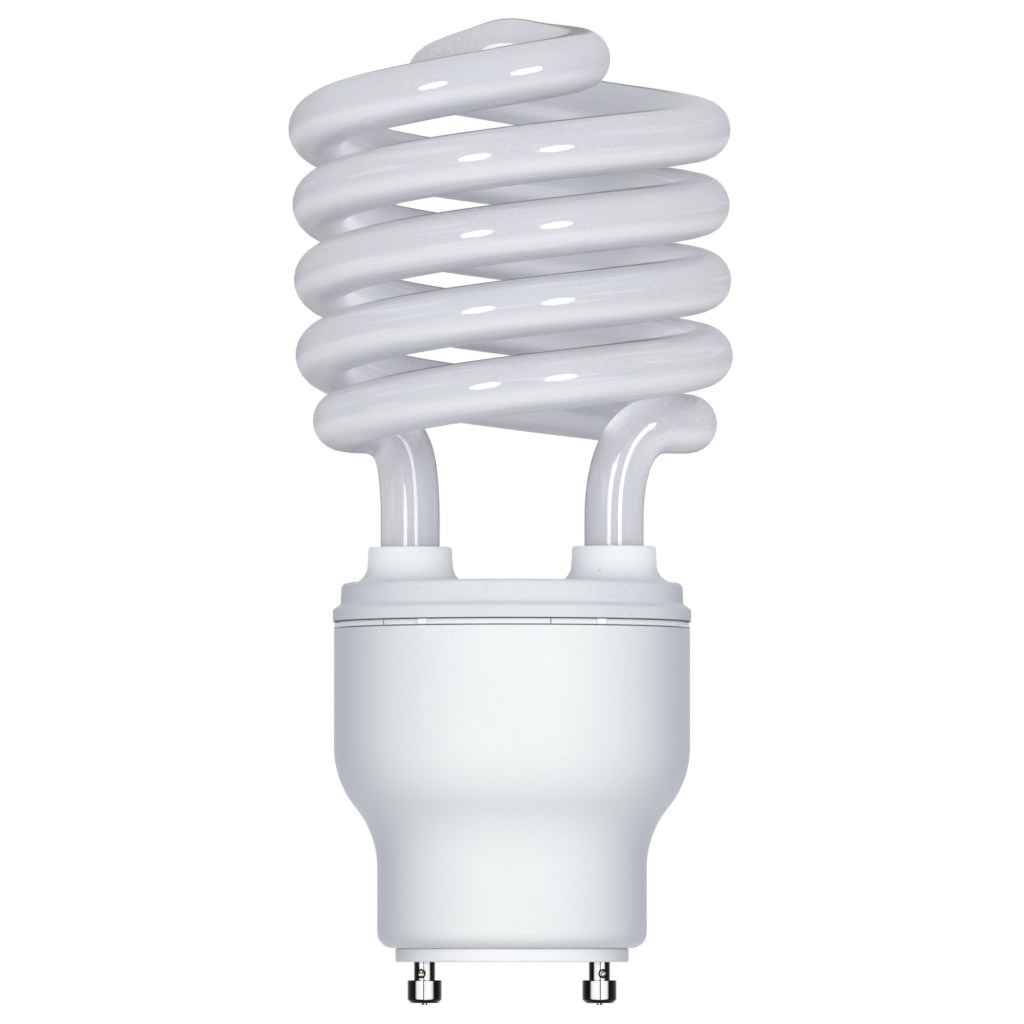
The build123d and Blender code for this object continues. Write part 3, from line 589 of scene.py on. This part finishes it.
    def extra(self, graph: Graph, place: Socket, colour: Socket) -> Socket:
        """Tint the streaks, paint light in a band low on each strand, and paint the dark lines of shade.

        Args:
            graph: Graph of the material.
            place: Place on the surface.
            colour: Colour so far.

        Returns:
            The colour with its streaks, hairs, painted light band and painted shade lines.
        """
        drawn, fade = self.unrolled(graph, place)
        noise = {"Vector": drawn, "Scale": self.streak_scale, "Detail": 3.0}
        streak = graph.add("TexNoise", noise).outputs[0]
        tinted = graph.mix(graph.ramp(streak, *self.streak_step), self.cool, self.warm)
        colour = graph.mix(graph.math("MULTIPLY", fade, self.streak_share), colour, tinted)

        axes = graph.add("SeparateXYZ", {0: place}).outputs
        noise = {"Vector": drawn, "Scale": self.fine_scale, "Detail": 1.0}
        fine = graph.add("TexNoise", noise).outputs[0]
        below_crown = graph.math("MULTIPLY", graph.ramp(axes[2], *self.crown_bottom), self.fine_share)
        hairs = graph.math("MULTIPLY", graph.ramp(fine, *self.fine_step), below_crown)
        colour = graph.mix(graph.math("MULTIPLY", hairs, fade), colour, self.band)

        # Painted light: a lighter band low on each strand, where it faces down.
        upward = graph.upward()
        sway = graph.math("MULTIPLY", graph.math("SUBTRACT", streak, 0.5), fade)
        wavy = graph.math("MULTIPLY_ADD", sway, self.band_sway, upward)
        full = graph.math("MULTIPLY", graph.ramp(wavy, *self.band_rise), graph.ramp(wavy, *self.band_fall))
        low = graph.math("MULTIPLY", full, self.band_share)

        # Painted shade: a fine dark line along the strands' top edges and dark lines down the legs' edges,
        # where the glass turns away from the viewer.
        facing = graph.add("LayerWeight", {"Blend": 0.5}).outputs["Facing"]
        across = graph.math("ABSOLUTE", axes[0])
        top = graph.math(
            "MULTIPLY", graph.ramp(upward, *self.line_upward), graph.ramp(facing, *self.line_facing))
        middle = graph.math("MULTIPLY", graph.ramp(across, *self.line_reach), self.line_share)
        high = graph.math("MULTIPLY", top, middle)
        on_leg = graph.math("MULTIPLY", graph.ramp(axes[2], *self.leg_top[::-1]), self.leg_line_share)
        sides = graph.math("MULTIPLY", graph.ramp(facing, *self.leg_facing), on_leg)
        colour = graph.mix(sides, colour, self.leg_line)
        return graph.mix(high, graph.mix(low, colour, self.band), self.line)


# The edge colours of the glass and the plastics are painted shade at their turned-away edges.
GLASS = CoatedGlass(
    "phosphor_glass", (0.65, 0.64, 0.665), (0.53, 0.51, 0.555), edge=(0.42, 0.39, 0.455),
    roughness=0.5, specular=0.1, coat=1.0, grain=Grain.STIPPLE, cloud_scale=60.0,
    stipple_scale=2100.0, relief=0.05, tint_share=0.9, edge_start=0.4, edge_end=1.0, translucency=0.85,
    specks=0.35)
HOUSING = Finish(
    "housing_plastic", (0.86, 0.875, 0.855), (0.80, 0.815, 0.81), edge=(0.54, 0.56, 0.62),
    roughness=0.45, specular=0.3, grain=Grain.STIPPLE, cloud_scale=45.0, stipple_scale=2200.0,
    relief=0.35, tint_share=0.55, edge_start=0.0, edge_end=0.75, specks=0.25)
BASE = Finish(
    "base_plastic", (0.94, 0.945, 0.94), (0.88, 0.89, 0.89), edge=(0.56, 0.58, 0.63),
    roughness=0.45, specular=0.3, grain=Grain.STIPPLE, cloud_scale=60.0, stipple_scale=2400.0,
    relief=0.4, tint_share=0.5, edge_start=0.1, edge_end=0.9)
COVER = GroovedPlastic(
    "cover_plastic", (0.74, 0.76, 0.775), (0.65, 0.675, 0.70), edge=(0.47, 0.48, 0.54),
    roughness=0.5, specular=0.25, grain=Grain.STIPPLE, cloud_scale=70.0, stipple_scale=1900.0,
    relief=0.5, tint_share=0.7, edge_start=0.25, specks=0.45)
# The pins' near-black edge colour is a painted dark reflection on their turned-away sides.
NICKEL = PlatedPin(
    "plated_pin", (0.93, 0.92, 0.90), (0.74, 0.73, 0.70), edge=(0.008, 0.008, 0.010),
    roughness=0.1, metallic=1.0, grain=Grain.CLOUD, cloud_scale=900.0, stipple_scale=6000.0,
    relief=0.1, edge_start=0.085, edge_end=0.17, sideways=False)

INNER_FINISHES = {
    "tube_cement": Finish("cement", (0.72, 0.71, 0.67), (0.55, 0.53, 0.48), roughness=0.8, relief=0.8),
    "circuit_board": Finish("board_laminate", (0.42, 0.27, 0.12), (0.30, 0.18, 0.07), roughness=0.6),
    "capacitor_can": Finish("can_aluminium", (0.78, 0.79, 0.80), (0.6, 0.6, 0.62), roughness=0.3,
                            metallic=1.0),
    "capacitor_sleeve": Finish("dark_sleeve", (0.02, 0.022, 0.03), (0.05, 0.05, 0.06), roughness=0.35),
    "choke_core": Finish("ferrite", (0.055, 0.055, 0.06), (0.1, 0.1, 0.105), roughness=0.65, relief=0.6),
    "drive_ring": Finish("ferrite_ring", (0.06, 0.06, 0.062), (0.11, 0.11, 0.11), roughness=0.6,
                         relief=0.6),
    "filter_choke_core": Finish("ferrite_drum", (0.05, 0.05, 0.055), (0.1, 0.1, 0.1), roughness=0.6,
                                relief=0.6),
    "choke_bobbin": Finish("bobbin_plastic", (0.62, 0.56, 0.42), (0.5, 0.44, 0.32), roughness=0.5),
    "choke_winding": Finish("copper_winding", (0.62, 0.25, 0.09), (0.30, 0.10, 0.03), roughness=0.3,
                            metallic=0.8, grain=Grain.TURNS, cloud_scale=1100.0, tint_share=0.8),
    "filter_choke_winding": Finish("copper_drum", (0.62, 0.25, 0.09), (0.3, 0.1, 0.03), roughness=0.3,
                                   metallic=0.8, grain=Grain.TURNS, cloud_scale=1400.0, tint_share=0.8),
    "drive_winding": Finish("copper_turns", (0.66, 0.28, 0.1), (0.32, 0.11, 0.03), roughness=0.3,
                            metallic=0.8, grain=Grain.TURNS, cloud_scale=900.0, tint_share=0.7),
    "transistor": Finish("black_epoxy", (0.02, 0.02, 0.022), (0.05, 0.05, 0.055), roughness=0.5),
    "resonant_capacitor": Finish("film_coating", (0.45, 0.06, 0.03), (0.3, 0.03, 0.02), roughness=0.25,
                                 coat=0.5),
    "coupling_capacitor": Finish("film_coating_small", (0.42, 0.10, 0.04), (0.3, 0.06, 0.02),
                                 roughness=0.25),
    "disc_capacitor": Finish("disc_coating", (0.10, 0.22, 0.50), (0.07, 0.15, 0.38), roughness=0.3),
    "start_thermistor": Finish("thermistor_coating", (0.12, 0.34, 0.16), (0.08, 0.25, 0.1),
                               roughness=0.35),
    "resistor": Finish("resistor_coating", (0.55, 0.42, 0.26), (0.25, 0.08, 0.03), roughness=0.4,
                       grain=Grain.BANDS, cloud_scale=220.0, tint_share=0.9),
    "fuse_resistor": Finish("fuse_coating", (0.30, 0.42, 0.36), (0.2, 0.3, 0.26), roughness=0.5),
    "rectifier_diode": Finish("diode_body", (0.025, 0.025, 0.028), (0.5, 0.5, 0.5), roughness=0.4,
                              grain=Grain.BANDS, cloud_scale=160.0, tint_share=0.5),
    "diac": Finish("diode_glass", (0.12, 0.25, 0.55), (0.3, 0.12, 0.05), roughness=0.1, coat=1.0),
    "supply_wire": Finish("wire_insulation", (0.70, 0.69, 0.66), (0.6, 0.59, 0.56), roughness=0.5),
    "wire_post": Finish("tinned_brass", (0.72, 0.68, 0.55), (0.6, 0.55, 0.4), roughness=0.25,
                        metallic=1.0),
    "filament_wire": Finish("tinned_wire", (0.75, 0.74, 0.72), (0.6, 0.6, 0.58), roughness=0.3,
                            metallic=1.0),
}


def dress(piece: bpy.types.Object, material: bpy.types.Material) -> None:
    """Give a piece one material.

    Args:
        piece: Mesh object.
        material: Its material.
    """
    piece.data.materials.clear()
    piece.data.materials.append(material)


def smooth(piece: bpy.types.Object, degrees: float) -> None:
    """Shade a piece smooth, with sharp edges over an angle.

    Args:
        piece: Mesh object.
        degrees: Angle over which an edge stays sharp.
    """
    bpy.ops.object.select_all(action="DESELECT")
    piece.select_set(True)
    bpy.context.view_layer.objects.active = piece
    bpy.ops.object.shade_smooth_by_angle(angle=math.radians(degrees))


@dataclass
class SpiralGlass:
    """Glass tube: two strands that climb side by side and meet at the crown. Lengths in millimetres.

    Attributes:
        tube_radius: Outer radius of the glass.
        leg_place: Middle of the right leg, along X and Y.
        leg_bottom: Height of the legs' lower ends.
        leg_straight: Height up to which the legs are straight.
        coil_radius: Radius of the coil's middle line.
        coil_start: Height at which the coil starts.
        coil_lead: Climb of the coil in one turn.
        coil_turns: Turns of each strand.
        steps_per_turn: Corners of the control line in one turn.
        bend_inset: How far the coil starts inside its full radius.
        bend_start: Turn at which it begins to widen.
        bend_span: Turns over which it widens.
        leg_bend: Corners from leg to coil: share of the way out, shift along Y, height over the start.
        swell: Growth of the radius with each of the coil's last steps.
        swell_steps: Number of those steps.
        crown_entry: Corners from coil to crown: inset from the coil's radius, rise over its climb.
        crown_rise: Height of the crown over the end of the coil.
        crown: Corners of the crown: across, along, share of the rise, share of the sag.
        rear_sag: Droop of the rear strand under the front one.
        lean: Sideways lean for each millimetre of height.
        tip_radius: Radius of the sealed exhaust tip where it leaves the leg.
        tip_taper: Share of that radius at its end.
        tip_length: Length of the tip.
        tip_sides: Flat sides of the tip.
        spans: Steps of the mesh between two corners.
        ring_steps: Fineness of the tube's round section.
        merge_gap: Distance under which points are one.
        crease: Angle in degrees over which an edge stays sharp.
    """

    tube_radius: float = 4.05
    leg_place: Range = (14.0, -2.0)
    leg_bottom: float = 47.0
    leg_straight: float = 57.0
    coil_radius: float = 26.0
    coil_start: float = 72.95
    coil_lead: float = 20.75
    coil_turns: int = 2
    steps_per_turn: int = 12
    bend_inset: float = 2.1
    bend_start: float = 0.04
    bend_span: float = 0.22
    leg_bend: Rows = ((0.13, 0.3, -1.95), (0.46, 0.9, 0.95), (0.91, 2.9, 0.95), (1.02, 8.2, 1.2))
    swell: float = 0.15
    swell_steps: int = 3
    crown_entry: Rows = ((0.3, 0.3), (3.3, 0.6))
    crown_rise: float = 11.55
    crown: Rows = (
        (-0.12, 0.75, 0.58, 0.1), (-0.33, 0.63, 0.68, 0.5), (-0.40, 0.39, 0.79, 1.0),
        (-0.33, 0.15, 0.86, 1.0), (-0.16, 0.02, 0.92, 0.5))
    rear_sag: float = 1.1
    lean: float = 0.021
    tip_radius: float = 1.2
    tip_taper: float = 0.62
    tip_length: float = 2.2
    tip_sides: int = 20
    spans: int = 7
    ring_steps: int = 10
    merge_gap: float = 0.001
    crease: float = 40.0

    @property
    def coil_end(self) -> float:
        """Height at which the coil passes into the crown."""
        return self.coil_start + self.coil_turns * self.coil_lead

    def lean_at(self, height: float) -> float:
        """Find the sideways lean of the glass.

        Args:
            height: Height over the base disc's underside.

        Returns:
            Shift along X.
        """
        middle = (self.coil_start + self.coil_end) / 2 + self.tube_radius
        fade = min(1.0, max(0.0, (height - self.coil_start) / (2 * self.tube_radius) + 1))
        return (middle - height) * self.lean * fade

    def coil_point(self, turn: float, radius: float, rise: float = 0.0) -> Point:
        """Find a corner of the coil's control line.

        Args:
            turn: Turns from the start of the coil.
            radius: Radius of the circle that the line touches.
            rise: Height over the even climb.

        Returns:
            The corner.
        """
        corner = radius / math.cos(math.pi / self.steps_per_turn)
        angle = 2 * math.pi * turn
        height = self.coil_start + self.coil_lead * turn + rise
        return corner * math.cos(angle), corner * math.sin(angle), height

    def strand(self, side: int, sag: float) -> list[Vector]:
        """List the corners of one strand, from its leg to just short of the axis.

        Args:
            side: 1 for the right leg's strand, -1 for the left one's.
            sag: Droop of its part of the crown.

        Returns:
            The corners.
        """
        leg_x, leg_y = self.leg_place
        inner = self.coil_radius - self.bend_inset
        heights = (self.leg_bottom, self.leg_straight, self.coil_start - 2 * self.tube_radius)
        points = [(leg_x, leg_y, height) for height in heights]
        for share, behind, above in self.leg_bend:
            points.append((leg_x + share * (inner - leg_x), leg_y + behind, self.coil_start + above))
        count = self.coil_turns * self.steps_per_turn
        for step in range(1, count + 1):
            turn = step / self.steps_per_turn
            growth = min(1.0, max(0.0, (turn - self.bend_start) / self.bend_span))
            swell = self.swell * max(0, step - count + self.swell_steps)
            radius = inner + self.bend_inset * math.sin(growth * math.pi / 2) + swell
            points.append(self.coil_point(turn, radius))
        for step, (inset, rise) in enumerate(self.crown_entry, start=count + 1):
            points.append(self.coil_point(step / self.steps_per_turn, self.coil_radius - inset, rise))
        for across, along, rise, share in self.crown:
            height = self.coil_end + self.crown_rise * rise - sag * share
            points.append((across * self.coil_radius, along * self.coil_radius, height))
        return [Vector((side * x + self.lean_at(z), side * y, z)) for x, y, z in points]

    def route(self) -> list[Vector]:
        """List the corners of the whole tube, from the right leg to the left one.

        Returns:
            The corners.
        """
        top = self.coil_end + self.crown_rise
        middle = Vector((self.lean_at(top), 0.0, top))
        return self.strand(1, self.rear_sag) + [middle] + self.strand(-1, 0.0)[::-1]

    def build(self, material: bpy.types.Material) -> bpy.types.Object:
        """Sweep the tube along its route, add the exhaust tip and dress it.

        Args:
            material: Finish of the glass.

        Returns:
            The finished piece.
        """
        bpy.ops.object.select_all(action="DESELECT")
        bpy.ops.curve.primitive_nurbs_path_add(location=(0, 0, 0))
        piece = bpy.context.object
        spline = piece.data.splines[0]
        corners = self.route()
        spline.points.add(len(corners) - len(spline.points))
        for point, corner in zip(spline.points, corners):
            point.co = (*(corner * MM), 1.0)
        spline.order_u = 3
        spline.use_endpoint_u = True
        spline.resolution_u = self.spans
        piece.data.bevel_depth = self.tube_radius * MM
        piece.data.bevel_resolution = self.ring_steps
        piece.data.use_fill_caps = True
        bpy.ops.object.convert(target="MESH")
        bpy.ops.object.mode_set(mode="EDIT")
        bpy.ops.mesh.select_all(action="SELECT")
        bpy.ops.mesh.remove_doubles(threshold=self.merge_gap * MM)
        bpy.ops.mesh.normals_make_consistent(inside=False)
        x, y = self.leg_place
        bpy.ops.mesh.primitive_cone_add(
            vertices=self.tip_sides, radius1=self.tip_taper * self.tip_radius * MM,
            radius2=self.tip_radius * MM, depth=self.tip_length * MM,
            location=(-x * MM, -y * MM, (self.leg_bottom - self.tip_length / 2) * MM))
        bpy.ops.object.mode_set(mode="OBJECT")
        smooth(piece, self.crease)
        piece.name = "spiral_glass"
        dress(piece, material)
        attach(piece, "root")
        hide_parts("spiral_tube")
        return piece


@dataclass
class CarriedNodes:
    """Pieces of the frame that keep their shape and get their finish here.

    Attributes:
        outer: Finish of each outer piece, by the start of its name.
    """

    outer: tuple[tuple[str, Finish], ...] = (
        ("upper_cover", COVER), ("lower_housing", HOUSING), ("base_plate", BASE), ("contact_pin", NICKEL))

    def finish_of(self, name: str) -> Finish:
        """Find the finish of a node by the longest start of its name.

        Args:
            name: Name of the node.

        Returns:
            Its finish.
        """
        known = {**dict(self.outer), **INNER_FINISHES, "spiral_tube": GLASS}
        start = max((key for key in known if name.startswith(key)), key=len)
        return known[start]

    def dress(self) -> dict[str, str]:
        """Give every carried node its material.

        Returns:
            Name of each node with the name of its finish.
        """
        made: dict[str, bpy.types.Material] = {}
        worn: dict[str, str] = {}
        for name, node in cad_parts.items():
            finish = self.finish_of(name)
            if finish.name not in made:
                made[finish.name] = finish.material()
            dress(node, made[finish.name])
            worn[name] = finish.name
        return worn


@dataclass
class Studio:
    """White sweep, two soft lamps, three small ones inside the coil, and the camera.

    Attributes:
        floor_size: Width of the floor.
        floor_height: Height of the floor.
        floor_grey: Grey of the floor under the lamps.
        floor_glow: Strength of the white that the camera and reflections see.
        floor_share: Share of that white in the floor.
        ambient: Colour of the light from all round.
        ambient_strength: Strength of that light.
        lamps: Name, place and power in watts of each soft lamp.
        lamp_aim: Point that the soft lamps face.
        lamp_size: Their width and height.
        inner_lamps: Name, way that it faces along X and Y, and power in watts of each inner lamp.
        inner_middle: Point between the inner lamps.
        inner_offset: Distance from there to each inner lamp.
        inner_aim: Distance from there to the point that it faces.
        inner_size: Its width and height.
        camera_place: Place of the camera.
        camera_aim: Point that it faces.
        lens: Its focal length in millimetres.
        sensor: Width of its sensor in millimetres.
        clip: Nearest and farthest distance that it sees.
    """

    floor_size: float = 12.0
    floor_height: float = -6.0 * MM
    floor_grey: float = 0.9
    floor_glow: float = 1.04
    floor_share: float = 0.94
    ambient: Colour = (0.93, 0.95, 1.0)
    ambient_strength: float = 0.66
    lamps: tuple[tuple[str, Point, float], ...] = (
        ("lamp_left", (-0.298, -0.869, 0.205), 1.7), ("lamp_right", (0.359, -0.845, 0.205), 1.9))
    lamp_aim: Point = (0.0, -0.03, 0.1)
    lamp_size: Range = (0.28, 0.38)
    inner_lamps: tuple[tuple[str, Range, float], ...] = (
        ("inner_light_right", (1.0, 0.0), 0.0024), ("inner_light_left", (-1.0, 0.0), 0.0024),
        ("inner_light_rear", (0.0, 1.0), 0.0010))
    inner_middle: Point = (0.0, -3.0 * MM, 96.0 * MM)
    inner_offset: float = 12.0 * MM
    inner_aim: float = 30.0 * MM
    inner_size: Range = (22.0 * MM, 46.0 * MM)
    camera_place: Point = (0.0, -1.84, 0.001)
    camera_aim: Point = (0.0, 0.0, 0.0618)
    lens: float = 471.0
    sensor: float = 36.0
    clip: Range = (0.1, 20.0)

    def background(self, graph: Graph) -> Socket:
        """Tell the rays that see the background from those that only light the object.

        Args:
            graph: Graph of the world or the floor.

        Returns:
            1 for camera, glossy and transmission rays.
        """
        rays = graph.add("LightPath").outputs
        seen = graph.math("MAXIMUM", rays["Is Camera Ray"], rays["Is Glossy Ray"])
        return graph.math("MAXIMUM", seen, rays["Is Transmission Ray"])

    def world(self) -> None:
        """Write the white world."""
        world = bpy.data.worlds.new("studio")
        world.use_nodes = True
        graph = Graph(world.node_tree)
        light = graph.add("Background", {"Color": rgba(self.ambient), "Strength": self.ambient_strength})
        white = graph.add("Background", {"Color": (1, 1, 1, 1), "Strength": 1.0})
        mixed = graph.add("MixShader", {0: self.background(graph), 1: light.outputs[0], 2: white.outputs[0]})
        graph.add("OutputWorld", {"Surface": mixed.outputs[0]})
        bpy.context.scene.world = world

    def floor(self) -> None:
        """Lay the white floor, which keeps the object's shadow."""
        bpy.ops.object.select_all(action="DESELECT")
        bpy.ops.mesh.primitive_plane_add(size=self.floor_size, location=(0, 0, self.floor_height))
        floor = bpy.context.object
        floor.name = "floor"
        made = bpy.data.materials.new("floor_white")
        made.use_nodes = True
        graph = Graph(made.node_tree)
        matt = graph.add("BsdfDiffuse", {"Color": rgba((self.floor_grey,) * 3)})
        white = graph.add("Emission", {"Color": (1, 1, 1, 1), "Strength": self.floor_glow})
        share = graph.math("MULTIPLY", self.background(graph), self.floor_share)
        mixed = graph.add("MixShader", {0: share, 1: matt.outputs[0], 2: white.outputs[0]})
        graph.add("OutputMaterial", {"Surface": mixed.outputs[0]})
        dress(floor, made)

    def lamp(self, name: str, place: Point, aim: Point, size: Range, power: float) -> bpy.types.Object:
        """Hang one soft lamp.

        Args:
            name: Name of the lamp.
            place: Where it hangs.
            aim: Point that it faces.
            size: Width and height.
            power: Power in watts.

        Returns:
            The lamp.
        """
        bpy.ops.object.select_all(action="DESELECT")
        bpy.ops.object.light_add(type="AREA", location=place)
        lamp = bpy.context.object
        lamp.name = name
        lamp.data.shape = "ELLIPSE"
        lamp.data.size, lamp.data.size_y = size
        lamp.data.energy = power
        lamp.visible_camera = False
        lamp.rotation_euler = (Vector(aim) - Vector(place)).to_track_quat("-Z", "Y").to_euler()
        return lamp

    def inner_light(self, name: str, direction: Range, power: float) -> None:
        """Light a side of the coil from within, as light does that passes through the hollow glass.

        Args:
            name: Name of the lamp.
            direction: Way that it faces, along X and Y.
            power: Power in watts.
        """
        across, along = direction
        x, y, z = self.inner_middle
        place, aim = (
            (x + reach * across, y + reach * along, z) for reach in (self.inner_offset, self.inner_aim))
        lamp = self.lamp(name, place, aim, self.inner_size, power)
        lamp.visible_glossy = False

    def camera(self) -> None:
        """Set up the camera of the photograph."""
        bpy.ops.object.camera_add(location=self.camera_place)
        camera = bpy.context.object
        look = Vector(self.camera_aim) - Vector(self.camera_place)
        camera.rotation_euler = look.to_track_quat("-Z", "Y").to_euler()
        camera.data.lens = self.lens
        camera.data.sensor_width = self.sensor
        camera.data.clip_start, camera.data.clip_end = self.clip
        bpy.context.scene.camera = camera

    def build(self) -> None:
        """Set up world, floor, lamps and camera."""
        self.world()
        self.floor()
        for name, place, power in self.lamps:
            self.lamp(name, place, self.lamp_aim, self.lamp_size, power)
        for name, direction, power in self.inner_lamps:
            self.inner_light(name, direction, power)
        self.camera()
        bpy.context.scene.view_settings.view_transform = "Standard"


def main() -> None:
    """Build the looks in order and report each piece."""
    for node, finish in CarriedNodes().dress().items():
        log.info("%s: %s", node, finish)
    glass = SpiralGlass().build(GLASS.material())
    log.info("%s: %d faces", glass.name, len(glass.data.polygons))
    Studio().build()
    log.info("studio: world, floor, lamps and camera")


if __name__ == "__main__":
    main()
